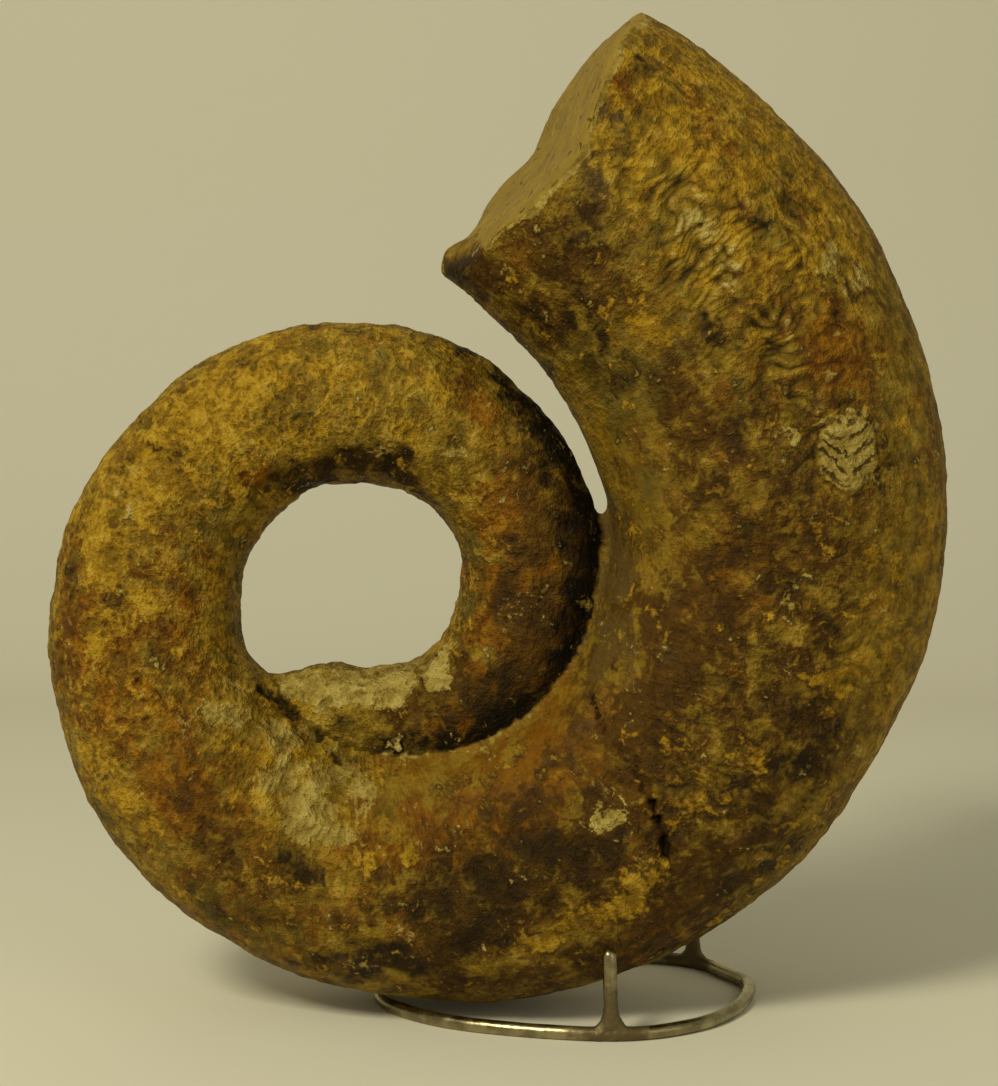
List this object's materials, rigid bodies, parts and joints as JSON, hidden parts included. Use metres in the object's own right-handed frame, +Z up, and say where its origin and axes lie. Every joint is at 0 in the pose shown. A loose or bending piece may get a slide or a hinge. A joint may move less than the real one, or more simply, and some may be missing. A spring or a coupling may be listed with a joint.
{
  "type": "fossil ammonite",
  "caption": "Large loosely coiled fossil ammonite, a worn stone mould with an open umbilicus and a broken mouth, held upright by a bent rod ring with short prongs.",
  "frame": {"origin": "on the floor under the middle of the bounding box", "axes": "+Z up; the coil lies in the XZ plane with its broken mouth at the top, and its shown face looks towards -Y"},
  "size_m": [0.3754, 0.145, 0.4164],
  "materials": {
    "fossil_stone": "worn ochre and brown limestone, matt with faintly polished high spots",
    "stand_brass": "dull unlacquered rod with browned welds"
  },
  "bodies": {
    "root": {"ammonite": "fossil_stone", "stand": "stand_brass"}
  },
  "joints": []
}
